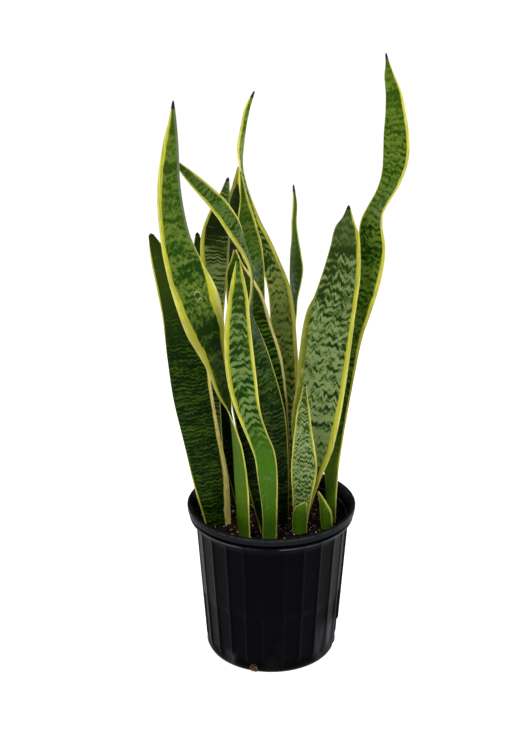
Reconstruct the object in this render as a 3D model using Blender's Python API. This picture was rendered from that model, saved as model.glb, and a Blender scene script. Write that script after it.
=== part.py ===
"""Potted snake plant: flat sword leaves with yellow margins in a fluted black nursery pot.

Metres, +Z up. The origin is the middle of the pot's underside, and the front of the plant faces -Y.
The plant's leaves and its sheaths stand in plain holes in the soil, and the soil fills the pot.
"""
import math
import random

import bmesh
import bpy
from mathutils import Vector

MM = 0.001

# Pot: a thin moulded nursery pot, about 24 cm across the rim
POT_HEIGHT = 228 * MM
RIM_RADIUS = 120 * MM
RIM_BAND_HEIGHT = 10.5 * MM
LIP_RADIUS = 116.5 * MM
LIP_HEIGHT = 6.5 * MM
BODY_TOP_RADIUS = 108 * MM
BODY_BASE_RADIUS = 93.5 * MM
WALL = 2 * MM
FLOOR = 3 * MM
FLUTES = 24
FLUTE_DEPTH = 1.6 * MM
FLUTE_TOP = 198 * MM
FLUTE_FOOT = 20 * MM
FOOT_STEP = 1.2 * MM
FLUTE_TURN = math.radians(9.0)
BASE_CORNER = 4.5 * MM

# Drain holes through the corner between the wall and the floor
DRAIN_HOLES = 4
DRAIN_WIDTH = 15 * MM
DRAIN_HEIGHT = 13 * MM
DRAIN_FIRST = math.radians(-105)
DRAIN_REACH = 20 * MM
DRAIN_SINK = 5 * MM

# Soil: it fills the pot to about an inch below the rim
GAP = 0.3 * MM
HOLE_GROW = 0.34 * MM
SOIL_SLACK = 0.7 * MM
SOIL_TOP = 202 * MM
SOIL_RINGS = 9
SOIL_SIDES = 44
SOIL_SWELL = 1.6 * MM
CRUMBS = 70
CRUMB_SIZES = (2.2 * MM, 5 * MM)
CRUMB_SPREAD = 98 * MM
SEED = 7

# Leaves: how deep they stand in the soil, and how thick their fleshy blades are
ROOT_DEPTH = 14 * MM
HOLE_RISE = 14 * MM
BLADE_THICK = 3 * MM
MARGIN_THICK = 1 * MM
TIP_THICK = 0.8 * MM
STEPS_PER_SPAN = 2
BLADE_COLUMNS = (-1.0, -0.5, 0.5, 1.0)

# Each leaf: its colour, its channel (depth of the trough over the width, to the front if positive)
# and its spine from the soil to the tip. A point of the spine gives, in millimetres, the height over
# the ground, x and y, the blade's width, and then in degrees how far the blade is turned from facing
# the front: at 90 it is seen edge-on.
LEAVES = {
    "leaf_left_broad": ("dark", -0.10, [
        (200, -74, -28, 36, 15), (270, -85, -22, 50, 5), (330, -97, -16, 52, 0), (390, -109, -8, 56, -5),
        (450, -117, 0, 56, -5), (500, -124, 8, 52, -5), (545, -137, 14, 42, -5), (585, -152, 18, 26, -5),
        (617, -164, 22, 6, -5)]),
    "leaf_left_tall": ("sage", 0.08, [
        (200, -38, -66, 22, 140), (285, -42, -67, 28, 133), (345, -47, -70, 29, 120), (400, -56, -74, 32, 88),
        (430, -65, -76, 35, 65), (475, -75, -81, 42, 50), (520, -87, -85, 55, 28), (560, -97, -88, 58, 18),
        (600, -111, -90, 49, 10), (645, -123, -90, 38, 5), (705, -129, -88, 30, 0), (760, -126, -85, 20, 0),
        (790, -123, -83, 10, 0), (815, -122, -80, 2, 0)]),
    "leaf_left_back": ("dark", 0.08, [
        (200, -41, 38, 23, 30), (280, -59, 54, 30, 30), (355, -77, 68, 33, 30), (430, -91, 80, 35, 30),
        (500, -101, 90, 35, 30), (555, -103, 96, 24, 30), (597, -105, 101, 5, 30)]),
    "leaf_back_dark": ("dark", 0.10, [
        (200, -72, 26, 25, -20), (290, -87, 36, 41, -20), (365, -93, 45, 46, -20), (440, -91, 54, 46, -15),
        (505, -85, 63, 40, -10), (550, -80, 69, 39, -8), (595, -78, 74, 41, -8), (630, -72, 78, 29, -8),
        (655, -65, 80, 15, -8), (680, -60, 82, 3, -8)]),
    "leaf_crossing": ("dark", -0.08, [
        (200, 11, -21, 29, 15), (280, 5, -20, 41, 15), (360, -3, -20, 50, 20), (415, -15, -20, 52, 30),
        (470, -26, -21, 50, 48), (510, -30, -22, 45, 75), (565, -27, -27, 38, 92), (592, -30, -30, 34, 90),
        (620, -40, -34, 30, 75), (650, -54, -39, 24, 35), (675, -71, -43, 22, 15), (710, -103, -49, 15, 5),
        (736, -127, -53, 3, 0)]),
    "leaf_front": ("sage", -0.06, [
        (200, -2, -72, 20, 10), (245, -2, -74, 21, 10), (305, -5, -80, 28, 15), (338, -9, -84, 29, 20),
        (362, -17, -86, 28, 20), (392, -27, -89, 30, 15), (420, -34, -91, 35, 8), (450, -39, -93, 39, 0),
        (493, -43, -96, 38, 0), (530, -44, -98, 33, 0), (563, -43, -100, 26, 0), (590, -43, -101, 17, 0),
        (619, -43, -102, 3, 0)]),
    "leaf_centre_green": ("green", 0.08, [
        (200, -5, 38, 22, 20), (288, -8, 44, 35, 25), (362, -12, 50, 42, 35), (437, -16, 55, 46, 48),
        (496, -19, 58, 37, 62), (553, -20, 61, 34, 60), (575, -27, 62, 39, 45), (603, -33, 63, 32, 25),
        (630, -36, 64, 22, 10), (652, -38, 65, 12, 5), (692, -43, 66, 2, 0)]),
    "leaf_centre_dark": ("dark", 0.08, [
        (200, -12, 60, 25, 35), (278, -22, 68, 38, 40), (352, -32, 77, 45, 40), (426, -40, 86, 48, 40),
        (498, -45, 96, 49, 40), (570, -49, 104, 43, 40), (612, -51, 110, 38, 40), (640, -51, 113, 29, 40),
        (660, -50, 115, 16, 40), (687, -47, 117, 3, 40)]),
    "leaf_centre_tall": ("green", 0.08, [
        (200, 29, 38, 24, 10), (285, 24, 47, 36, 15), (375, 21, 57, 40, 20), (448, 17, 68, 39, 20),
        (490, 14, 77, 37, 20), (523, 9, 83, 33, 20), (558, -3, 88, 28, 20), (585, -15, 91, 28, 25),
        (610, -27, 92, 29, 40), (638, -35, 91, 31, 60), (665, -41, 92, 26, 70), (693, -43, 93, 22, 80),
        (715, -44, 95, 18, 60), (742, -40, 98, 11, 40), (770, -34, 101, 8, 20), (794, -24, 105, 2, 0)]),
    "leaf_centre_broad": ("dark", 0.06, [
        (200, 8, 1, 28, 10), (275, 7, 3, 39, 10), (335, 2, 5, 45, 8), (388, -4, 7, 50, 5),
        (440, -13, 9, 54, 5), (483, -26, 11, 54, 5), (523, -36, 13, 51, 5), (548, -43, 14, 40, 5),
        (566, -48, 15, 29, 5), (583, -49, 16, 13, 5), (598, -50, 17, 3, 5)]),
    "leaf_front_shaded": ("dark", -0.06, [
        (200, -3, -46, 24, 20), (265, -13, -50, 34, 15), (315, -22, -51, 36, 10), (363, -31, -53, 34, 5),
        (409, -40, -57, 30, 0), (453, -46, -60, 21, 0), (482, -47, -62, 12, 0), (504, -46, -63, 3, 0)]),
    "leaf_back_narrow": ("dark", 0.10, [
        (200, 42, 60, 24, 40), (275, 32, 70, 25, 45), (350, 25, 82, 28, 55), (423, 24, 94, 30, 60),
        (475, 28, 102, 30, 62), (502, 31, 106, 28, 62), (535, 34, 112, 28, 45), (560, 33, 116, 23, 45),
        (583, 32, 120, 15, 45), (605, 31, 124, 11, 45), (630, 32, 128, 9, 45), (658, 30, 131, 3, 45)]),
    "leaf_right_broad": ("sage", 0.07, [
        (200, 41, -8, 21, -20), (265, 50, -8, 37, -10), (315, 58, -8, 56, -5), (357, 61, -8, 67, 0),
        (400, 67, -5, 68, 0), (455, 73, 0, 70, 0), (500, 79, 5, 68, 0), (524, 86, 9, 60, 0),
        (560, 94, 14, 52, 0), (598, 99, 19, 41, 0), (622, 100, 23, 32, 0), (637, 102, 26, 16, 0),
        (655, 103, 28, 2, 0)]),
    "leaf_right_tall": ("green", 0.08, [
        (200, 85, -11, 21, -50), (253, 86, 0, 25, -50), (302, 85, 12, 37, -40), (352, 88, 22, 45, -35),
        (409, 95, 32, 50, -32), (470, 106, 40, 50, -30), (511, 120, 45, 48, -30), (550, 132, 49, 45, -30),
        (588, 138, 53, 44, -35), (618, 137, 56, 42, -45), (639, 142, 58, 38, -58), (657, 151, 60, 36, -58),
        (681, 162, 63, 36, -45), (710, 168, 67, 40, -35), (740, 168, 71, 38, -30), (771, 166, 76, 30, -30),
        (795, 163, 80, 24, -30), (817, 157, 83, 16, -30), (833, 154, 84, 7, -30), (848, 151, 85, 2, -30)]),
    "leaf_right_short": ("sage", 0.10, [
        (200, 40, -36, 20, 20), (256, 43, -39, 29, 15), (296, 45, -42, 37, 10), (328, 44, -45, 32, 10),
        (356, 43, -48, 25, 10), (387, 43, -50, 18, 10), (409, 44, -52, 10, 10), (429, 45, -53, 3, 10)]),
    "sheath_right_short": ("green", -0.20, [
        (200, 40, -50, 20, 0), (223, 40, -51, 21, 0), (238, 41, -52, 19, 0), (246, 45, -52, 11, 0),
        (253, 48, -52, 2, 0)]),
    "sheath_right_tall": ("green", -0.20, [
        (200, 79, -36, 16, 0), (224, 77, -37, 17, 0), (240, 73, -37, 11, 0), (252, 69, -37, 6, 0),
        (262, 65, -37, 2, 0)]),
}

# Base colour, roughness and metallic value of each finish
FINISHES = {
    "sage": ((0.16, 0.24, 0.10), 0.45, 0.0),
    "green": ((0.08, 0.19, 0.04), 0.42, 0.0),
    "dark": ((0.025, 0.075, 0.015), 0.42, 0.0),
    "pot": ((0.012, 0.013, 0.015), 0.38, 0.0),
    "soil": ((0.022, 0.013, 0.011), 0.95, 0.0),
}


def clear_scene():
    for item in list(bpy.data.objects):
        bpy.data.objects.remove(item, do_unlink=True)


def finish(name):
    """The material of that name, made the first time it is asked for."""
    material = bpy.data.materials.get(name)
    if material is None:
        colour, roughness, metallic = FINISHES[name]
        material = bpy.data.materials.new(name)
        material.use_nodes = True
        shader = material.node_tree.nodes["Principled BSDF"]
        shader.inputs["Base Color"].default_value = (*colour, 1.0)
        shader.inputs["Roughness"].default_value = roughness
        shader.inputs["Metallic"].default_value = metallic
        material.diffuse_color = (*colour, 1.0)
    return material


def make_object(name, bm, finish_name):
    """Close a bmesh into an object of its own in the scene."""
    bmesh.ops.recalc_face_normals(bm, faces=bm.faces)
    mesh = bpy.data.meshes.new(name)
    bm.to_mesh(mesh)
    bm.free()
    item = bpy.data.objects.new(name, mesh)
    item.data.materials.append(finish(finish_name))
    bpy.context.scene.collection.objects.link(item)
    return item


def cut(body, cutter):
    """Take a cutter out of a body, and leave neither the modifier nor the cutter behind."""
    cutter.hide_render = True
    cutter.display_type = "WIRE"
    modifier = body.modifiers.new("cut", "BOOLEAN")
    modifier.operation = "DIFFERENCE"
    modifier.solver = "EXACT"
    modifier.object = cutter
    apply_modifiers(body)
    bpy.data.objects.remove(cutter, do_unlink=True)


def apply_modifiers(body):
    """Keep the mesh as the modifiers leave it."""
    shape = body.evaluated_get(bpy.context.evaluated_depsgraph_get())
    mesh = bpy.data.meshes.new_from_object(shape)
    body.modifiers.clear()
    body.data = mesh


def skin(bm, rings):
    """Join closed rings of vertices into one skin, and close its two ends."""
    for lower, upper in zip(rings, rings[1:]):
        for i in range(len(lower)):
            j = (i + 1) % len(lower)
            bm.faces.new((lower[i], lower[j], upper[j], upper[i]))
    bm.faces.new(reversed(rings[0]))
    bm.faces.new(rings[-1])


# Pot

def body_radius(height):
    """Radius of the plain conical body at a height, before its flutes."""
    return BODY_BASE_RADIUS + (BODY_TOP_RADIUS - BODY_BASE_RADIUS) * height / FLUTE_TOP


def flute(step):
    """Height of the flute at one of the four points that each flute has round the pot, 0 or 1."""
    return 1.0 if step % 4 < 2 else 0.0


def flute_angle(step):
    """Angle of a point of the flutes: the raised rib is narrower than the face between two ribs."""
    whole, part = divmod(step, 4)
    shares = (0.0, 0.10, 0.20, 0.90)
    return (whole + shares[part]) * math.tau / FLUTES + FLUTE_TURN


def pot_profile():
    """Outer profile from the middle of the underside up: radius, height and share of the flutes."""
    top = POT_HEIGHT
    band = top - RIM_BAND_HEIGHT
    lip = band - LIP_HEIGHT
    return [
        (BODY_BASE_RADIUS - BASE_CORNER, 0.0, 0.0),
        (BODY_BASE_RADIUS, BASE_CORNER, 0.0),
        (body_radius(FLUTE_FOOT) - FOOT_STEP, FLUTE_FOOT - FOOT_STEP, 0.0),
        (body_radius(FLUTE_FOOT), FLUTE_FOOT, 1.0),
        (BODY_TOP_RADIUS, FLUTE_TOP, 1.0),
        (BODY_TOP_RADIUS + 0.5 * MM, lip, 0.0),
        (LIP_RADIUS, lip + 0.6 * MM, 0.0),
        (LIP_RADIUS, band, 0.0),
        (RIM_RADIUS - 0.6 * MM, band + 1 * MM, 0.0),
        (RIM_RADIUS, top - 1.5 * MM, 0.0),
        (RIM_RADIUS - 1.5 * MM, top, 0.0),
        (RIM_RADIUS - 4 * MM, top, 0.0),
        (inner_radius(lip), lip, 0.0),
        (inner_radius(FLOOR), FLOOR, 0.0),
    ]


def inner_radius(height):
    """Radius of the smooth inside of the pot at a height."""
    return body_radius(height) - FLUTE_DEPTH - WALL


def make_pot():
    bm = bmesh.new()
    rings = []
    for radius, height, share in pot_profile():
        ring = []
        for step in range(4 * FLUTES):
            reach = radius - FLUTE_DEPTH * share * (1.0 - flute(step))
            angle = flute_angle(step)
            ring.append(bm.verts.new((reach * math.cos(angle), reach * math.sin(angle), height)))
        rings.append(ring)
    skin(bm, rings)
    bmesh.ops.triangulate(bm, faces=bm.faces)
    pot = make_object("pot", bm, "pot")
    for i in range(DRAIN_HOLES):
        cut(pot, drain_cutter(DRAIN_FIRST + i * math.tau / DRAIN_HOLES))
    return pot


def drain_cutter(angle):
    """A block across the corner of the pot, long way out, with a rounded head."""
    bm = bmesh.new()
    half = DRAIN_WIDTH / 2
    outline = [(-half, -DRAIN_SINK), (half, -DRAIN_SINK)]
    for i in range(7):
        turn = math.pi * i / 6
        outline.append((half * math.cos(turn), DRAIN_HEIGHT - half + half * math.sin(turn)))
    inner = BODY_BASE_RADIUS - DRAIN_REACH
    outer = BODY_BASE_RADIUS + DRAIN_REACH
    out = Vector((math.cos(angle), math.sin(angle), 0.0))
    side = Vector((-math.sin(angle), math.cos(angle), 0.0))
    rings = []
    for reach in (inner, outer):
        rings.append([bm.verts.new(out * reach + side * x + Vector((0.0, 0.0, z))) for x, z in outline])
    skin(bm, rings)
    return make_object("drain_cutter", bm, "pot")


# Leaves

def smooth_spine(points, steps):
    """Points along a cubic curve through the spine, its slopes taken from the neighbours."""
    marks = [0.0]
    for a, b in zip(points, points[1:]):
        marks.append(marks[-1] + math.dist(a[:3], b[:3]))
    slopes = []
    for i in range(len(points)):
        lo = max(i - 1, 0)
        hi = min(i + 1, len(points) - 1)
        slopes.append([(q - p) / (marks[hi] - marks[lo]) for p, q in zip(points[lo], points[hi])])
    out = []
    for i in range(len(points) - 1):
        span = marks[i + 1] - marks[i]
        for k in range(steps):
            t = k / steps
            h00 = 2 * t ** 3 - 3 * t ** 2 + 1
            h10 = t ** 3 - 2 * t ** 2 + t
            h01 = 1 - h00
            h11 = t ** 3 - t ** 2
            out.append([h00 * p + h10 * span * m + h01 * q + h11 * span * n for p, m, q, n in
                        zip(points[i], slopes[i], points[i + 1], slopes[i + 1])])
    out.append(list(points[-1]))
    return out


def leaf_stations(spine, steps, depth):
    """Places, widths and directions along a leaf, from under the soil to its tip."""
    rows = [(x * MM, y * MM, z * MM, width * MM, math.radians(turn)) for z, x, y, width, turn in spine]
    foot = rows[0]
    rows.insert(0, (foot[0], foot[1], foot[2] - depth, *foot[3:]))
    rows = smooth_spine(rows, steps)
    stations = []
    for i, row in enumerate(rows):
        ahead = rows[min(i + 1, len(rows) - 1)]
        behind = rows[max(i - 1, 0)]
        along = (Vector(ahead[:3]) - Vector(behind[:3])).normalized()
        side = Vector((1.0, 0.0, 0.0))
        side = (side - side.dot(along) * along).normalized()
        face = side.cross(along)
        turn = row[4]
        across = side * math.cos(turn) - face * math.sin(turn)
        stations.append((Vector(row[:3]), row[3], across, across.cross(along)))
    return stations


def blade_thickness(width, column):
    """Thickness of the blade: fleshy in the middle, thin at the margins and at the tip."""
    middle = min(BLADE_THICK, TIP_THICK + 0.09 * width)
    edge = min(MARGIN_THICK, middle)
    return edge + (middle - edge) * (1.0 - column ** 2)


def blade_ring(bm, station, channel, grow):
    """One ring of the blade: the front from left to right, then the back from right to left."""
    place, width, across, face = station
    half = width / 2 + grow
    front = []
    back = []
    for column in BLADE_COLUMNS:
        middle = place + across * (half * column) + face * (channel * width * (column ** 2 - 0.5))
        rise = face * (blade_thickness(width, column) / 2 + grow)
        front.append(bm.verts.new(middle + rise))
        back.append(bm.verts.new(middle - rise))
    return front, back


def add_blade(bm, stations, channel, grow=0.0):
    """A closed blade. Both faces are split into triangles along the same diagonals."""
    rings = [blade_ring(bm, station, channel, grow) for station in stations]
    last = len(BLADE_COLUMNS) - 1
    for (front_a, back_a), (front_b, back_b) in zip(rings, rings[1:]):
        for i in range(last):
            for a, b in ((front_a, front_b), (back_a, back_b)):
                bm.faces.new((a[i], a[i + 1], b[i + 1]))
                bm.faces.new((a[i], b[i + 1], b[i]))
        for i in (0, last):
            bm.faces.new((front_a[i], front_b[i], back_b[i]))
            bm.faces.new((front_a[i], back_b[i], back_a[i]))
    for front, back in (rings[0], rings[-1]):
        for i in range(last):
            bm.faces.new((front[i], front[i + 1], back[i + 1]))
            bm.faces.new((front[i], back[i + 1], back[i]))


def make_leaf(name):
    finish_name, channel, spine = LEAVES[name]
    bm = bmesh.new()
    add_blade(bm, leaf_stations(spine, STEPS_PER_SPAN, ROOT_DEPTH), channel)
    return make_object(name, bm, finish_name)


def leaf_hole(name):
    """Cutter of the plain hole that a leaf stands in."""
    channel, spine = LEAVES[name][1:]
    blade = leaf_stations(spine, STEPS_PER_SPAN, ROOT_DEPTH)
    foot = blade[0]
    stations = [(foot[0] - Vector((0.0, 0.0, GAP)), *foot[1:])]
    for station in blade[1:]:
        stations.append(station)
        if station[0].z > SOIL_TOP + HOLE_RISE:
            break
    bm = bmesh.new()
    add_blade(bm, stations, channel, grow=HOLE_GROW)
    return make_object("hole_" + name, bm, "soil")


# Soil

def soil_height(x, y):
    """The soil's surface: a few long swells."""
    wave = math.sin(61 * x + 1.3) * math.cos(53 * y - 0.4) + 0.6 * math.sin(118 * x - 97 * y)
    return SOIL_TOP + SOIL_SWELL * wave / 2


def add_crumb(bm, rng):
    """A small block of bark or a grain of perlite, half sunk in the soil."""
    reach = CRUMB_SPREAD * math.sqrt(rng.random())
    angle = rng.uniform(0.0, math.tau)
    x = reach * math.cos(angle)
    y = reach * math.sin(angle)
    size = rng.uniform(*CRUMB_SIZES)
    spin = rng.uniform(0.0, math.tau)
    middle = Vector((x, y, soil_height(x, y)))
    ring = []
    for i in range(5):
        turn = spin + i * math.tau / 5
        stretch = size * rng.uniform(0.6, 1.0)
        ring.append(middle + Vector((stretch * math.cos(turn), stretch * math.sin(turn), 0.0)) / 2)
    low = [bm.verts.new(point - Vector((0.0, 0.0, size / 2))) for point in ring]
    high = [bm.verts.new(middle.lerp(point, 0.6) + Vector((0.0, 0.0, size * 0.4))) for point in ring]
    skin(bm, [low, high])


def join_crumbs(soil):
    """Fuse the crumbs into the soil."""
    rng = random.Random(SEED)
    group = bpy.data.collections.new("crumbs")
    bpy.context.scene.collection.children.link(group)
    for i in range(CRUMBS):
        bm = bmesh.new()
        add_crumb(bm, rng)
        crumb = make_object(f"crumb_{i}", bm, "soil")
        group.objects.link(crumb)
    modifier = soil.modifiers.new("crumbs", "BOOLEAN")
    modifier.operation = "UNION"
    modifier.solver = "EXACT"
    modifier.operand_type = "COLLECTION"
    modifier.collection = group
    apply_modifiers(soil)
    for crumb in list(group.objects):
        bpy.data.objects.remove(crumb, do_unlink=True)
    bpy.data.collections.remove(group)


def make_soil():
    bm = bmesh.new()
    floor = FLOOR + GAP
    rim = inner_radius(SOIL_TOP) - SOIL_SLACK
    rings = []
    for radius, height in ((inner_radius(floor) - SOIL_SLACK, floor), (rim, SOIL_TOP)):
        ring = []
        for i in range(SOIL_SIDES):
            angle = i * math.tau / SOIL_SIDES
            ring.append(bm.verts.new((radius * math.cos(angle), radius * math.sin(angle), height)))
        rings.append(ring)
    for k in range(1, SOIL_RINGS):
        radius = rim * (1.0 - k / SOIL_RINGS)
        ring = []
        for i in range(SOIL_SIDES):
            angle = i * math.tau / SOIL_SIDES
            x = radius * math.cos(angle)
            y = radius * math.sin(angle)
            ring.append(bm.verts.new((x, y, soil_height(x, y))))
        rings.append(ring)
    skin(bm, rings)
    bmesh.ops.triangulate(bm, faces=bm.faces)
    soil = make_object("soil", bm, "soil")
    join_crumbs(soil)
    for name in LEAVES:
        cut(soil, leaf_hole(name))
    return soil


def main():
    clear_scene()
    pieces = [make_pot(), make_soil()]
    pieces += [make_leaf(name) for name in LEAVES]
    for piece in pieces:
        piece.data.shade_smooth()
        piece.data.set_sharp_from_angle(angle=math.radians(35))


main()
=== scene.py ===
# %% [markdown]
# # A snake plant in its nursery pot
#
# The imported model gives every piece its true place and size: a thin black pot, the soil in it and the
# sword-shaped leaves that stand in the soil. This lesson gives each of them its look. A snake plant's
# leaf is a thick, stiff blade with a yellow margin and wavy cross-bands, so most of the work goes into
# two things: a blade with a soft rounded section, and a finish that knows where on the blade it is.

# %% Load the frame
import math
import random

import bmesh
import bpy
from mathutils import Matrix, Vector, noise


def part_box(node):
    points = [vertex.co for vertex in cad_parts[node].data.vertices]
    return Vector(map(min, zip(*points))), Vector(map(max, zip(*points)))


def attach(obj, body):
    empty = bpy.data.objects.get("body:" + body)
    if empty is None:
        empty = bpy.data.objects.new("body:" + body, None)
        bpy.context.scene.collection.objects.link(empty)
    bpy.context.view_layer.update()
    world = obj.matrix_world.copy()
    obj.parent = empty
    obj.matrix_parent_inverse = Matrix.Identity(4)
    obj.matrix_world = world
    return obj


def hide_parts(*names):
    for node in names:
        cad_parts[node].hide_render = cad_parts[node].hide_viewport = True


MM = 0.001
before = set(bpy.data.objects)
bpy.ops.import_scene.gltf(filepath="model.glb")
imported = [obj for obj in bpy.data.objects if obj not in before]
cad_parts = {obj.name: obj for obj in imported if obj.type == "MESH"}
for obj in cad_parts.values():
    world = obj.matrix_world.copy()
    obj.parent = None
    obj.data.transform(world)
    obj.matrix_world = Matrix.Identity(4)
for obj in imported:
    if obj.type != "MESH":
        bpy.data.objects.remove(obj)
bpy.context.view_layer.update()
scene = bpy.context.scene

# %% [markdown]
# ## The camera
#
# The photograph looks down a little on the plant from nearly two metres away, with a long lens. The
# pot's rim and its base are two circles of known size, and they fixed this camera: it sees both ellipses
# where the photograph has them.

# %% Place the camera
CAMERA_PLACE = Vector((0.0, -1.85, 1.14))
CAMERA_AIM = Vector((-0.0112, 0.0, 0.4305))
CAMERA_LENS = 70.19
CAMERA_SENSOR = 36.0


def aimed(place, aim):
    """The rotation that points a camera or a light from its place at its aim."""
    return (aim - place).to_track_quat("-Z", "Y").to_euler()


def place_camera():
    camera = bpy.data.objects.new("camera", bpy.data.cameras.new("camera"))
    camera.data.lens = CAMERA_LENS
    camera.data.sensor_width = CAMERA_SENSOR
    camera.location = CAMERA_PLACE
    camera.rotation_euler = aimed(CAMERA_PLACE, CAMERA_AIM)
    scene.collection.objects.link(camera)
    scene.camera = camera


place_camera()
print("camera", round((CAMERA_AIM - CAMERA_PLACE).length, 2), "m from what it looks at")

# %% [markdown]
# ## Shader sums
#
# The finishes below are sums of noises, steps and distances. Written as plain Python expressions they
# stay readable, so a small class wraps a node's socket and turns + - * / into Math nodes. Everything else
# goes through one method that makes a node, sets it up and feeds its sockets.

# %% A small kit for materials
class Wire:
    """A socket of a shader node that can stand in a Python sum."""

    def __init__(self, paint, socket):
        self.paint = paint
        self.socket = socket

    def __add__(self, other):
        return self.paint.math("ADD", self, other)

    def __sub__(self, other):
        return self.paint.math("SUBTRACT", self, other)

    def __rsub__(self, other):
        return self.paint.math("SUBTRACT", other, self)

    def __mul__(self, other):
        return self.paint.math("MULTIPLY", self, other)

    def __truediv__(self, other):
        return self.paint.math("DIVIDE", self, other)

    __radd__ = __add__
    __rmul__ = __mul__


class Paint:
    """A material in the making."""

    def __init__(self, name):
        self.material = bpy.data.materials.new(name)
        self.material.use_nodes = True
        self.tree = self.material.node_tree
        self.shader = self.tree.nodes["Principled BSDF"]

    def feed(self, socket, value):
        if isinstance(value, Wire):
            self.tree.links.new(value.socket, socket)
        else:
            socket.default_value = value

    def node(self, kind, settings, sockets, output=0):
        """Make a node, set it up, feed its sockets and hand back one of its outputs."""
        made = self.tree.nodes.new(kind)
        for name, value in settings.items():
            setattr(made, name, value)
        for key, value in sockets.items():
            self.feed(made.inputs[key], value)
        return Wire(self, made.outputs[output])

    def math(self, operation, first, second=0.0):
        return self.node("ShaderNodeMath", {"operation": operation}, {0: first, 1: second})

    def step(self, value, low, high):
        """0 below low, 1 above high, and a smooth rise between them."""
        settings = {"interpolation_type": "SMOOTHSTEP"}
        return self.node("ShaderNodeMapRange", settings, {"Value": value, "From Min": low, "From Max": high})

    def blend(self, share, first, second):
        """The first colour where share is 0 and the second where it is 1."""
        return self.node("ShaderNodeMix", {"data_type": "RGBA"}, {0: share, 6: first, 7: second}, 2)

    def dim(self, colour, share):
        """The colour times a share of its light."""
        return self.node("ShaderNodeVectorMath", {"operation": "SCALE"}, {0: colour, 3: share})

    def place(self, x, y, z):
        return self.node("ShaderNodeCombineXYZ", {}, {0: x, 1: y, 2: z})

    def object_place(self):
        """Where a point of the surface is in its object, in metres."""
        return self.node("ShaderNodeTexCoord", {}, {}, 3)

    def attribute(self, name, output):
        return self.node("ShaderNodeAttribute", {"attribute_name": name}, {}, output)

    def noise(self, place, scale=1.0, detail=2.0):
        """A soft random field about 0.5, with one bump to each unit of place times scale."""
        return self.node("ShaderNodeTexNoise", {}, {"Vector": place, "Scale": scale, "Detail": detail})

    def field(self, across, along, size, seed, detail=2.0):
        """A random field on a blade. The size of its bumps across and along is in millimetres."""
        return self.noise(self.place(across / size[0], along / size[1], seed), detail=detail)

    def split(self, vector):
        """The three parts of a vector."""
        parts = self.node("ShaderNodeSeparateXYZ", {}, {0: vector}).socket.node
        return [Wire(self, output) for output in parts.outputs]

    def finish(self, colour, roughness, height, depth, **fixed):
        """Send what varies to the surface, and set what is the same all over."""
        self.feed(self.shader.inputs["Base Color"], colour)
        self.feed(self.shader.inputs["Roughness"], roughness)
        bump = self.node("ShaderNodeBump", {}, {"Height": height, "Distance": depth})
        self.feed(self.shader.inputs["Normal"], bump)
        self.fix(**fixed)
        return self.material

    def fix(self, **fixed):
        """Set the shader's sockets whose value is the same all over."""
        for name, value in fixed.items():
            self.shader.inputs[name.replace("_", " ")].default_value = value


def shade(red, green, blue):
    """A colour as a screen shows it, 0 to 255, turned into the light that a shader works with."""
    return (*[(v / 255) ** 2.2 for v in (red, green, blue)], 1.0)


print("yellow margin as light:", [round(v, 3) for v in shade(200, 200, 50)])

# %% [markdown]
# ## The studio
#
# The photograph has a pure white ground and soft light. A wide glowing floor keeps the ground white, and
# its mirror image draws the bright edges of the black pot and leaves its front dark. Two tall, narrow
# lights behind the plant, left and right, light the edges of the leaves, and a key and a fill light shape
# their faces. The standard view transform keeps white paper white.

# %% Floor, sky and lights
FLOOR_REACH = 40.0
FLOOR_GLOW = 0.95
FLOOR_TONE = (0.6, 0.6, 0.6, 1.0)
WHITE = (1.0, 1.0, 1.0, 1.0)
SKY_STRENGTH = 0.15
LIGHT_AIM = Vector((0.0, 0.0, 0.4))
AREA_LIGHTS = [
    # name, place, size across and high, watts
    ("key", (-1.1, -1.7, 2.1), (0.7, 0.7), 22.0),
    ("fill", (1.5, -1.6, 1.6), (0.8, 0.8), 15.0),
    ("left rim", (-1.30, 1.15, 0.6), (0.25, 1.5), 16.0),
    ("right rim", (1.40, 0.95, 0.6), (0.25, 1.5), 16.0),
]


def object_from(bm, name):
    """Turn a bmesh into an object in the scene."""
    mesh = bpy.data.meshes.new(name)
    bm.to_mesh(mesh)
    bm.free()
    made = bpy.data.objects.new(name, mesh)
    scene.collection.objects.link(made)
    return made


def make_floor():
    bm = bmesh.new()
    bmesh.ops.create_grid(bm, x_segments=1, y_segments=1, size=FLOOR_REACH)
    floor = object_from(bm, "floor")
    paint = Paint("white_ground")
    paint.fix(Base_Color=FLOOR_TONE, Roughness=0.9, Specular_IOR_Level=0.0, Emission_Color=WHITE,
              Emission_Strength=FLOOR_GLOW)
    floor.data.materials.append(paint.material)


def make_sky():
    world = bpy.data.worlds.new("studio")
    world.use_nodes = True
    world.node_tree.nodes["Background"].inputs["Strength"].default_value = SKY_STRENGTH
    world.node_tree.nodes["Background"].inputs["Color"].default_value = WHITE
    scene.world = world


def make_lights():
    for name, place, (wide, high), watts in AREA_LIGHTS:
        light = bpy.data.lights.new(name, "AREA")
        light.shape = "RECTANGLE"
        light.size = wide
        light.size_y = high
        light.energy = watts
        lamp = bpy.data.objects.new(name, light)
        lamp.location = place
        lamp.rotation_euler = aimed(Vector(place), LIGHT_AIM)
        lamp.visible_camera = False
        scene.collection.objects.link(lamp)


make_floor()
make_sky()
make_lights()
scene.view_settings.view_transform = "Standard"
print(len(AREA_LIGHTS), "area lights")
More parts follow.
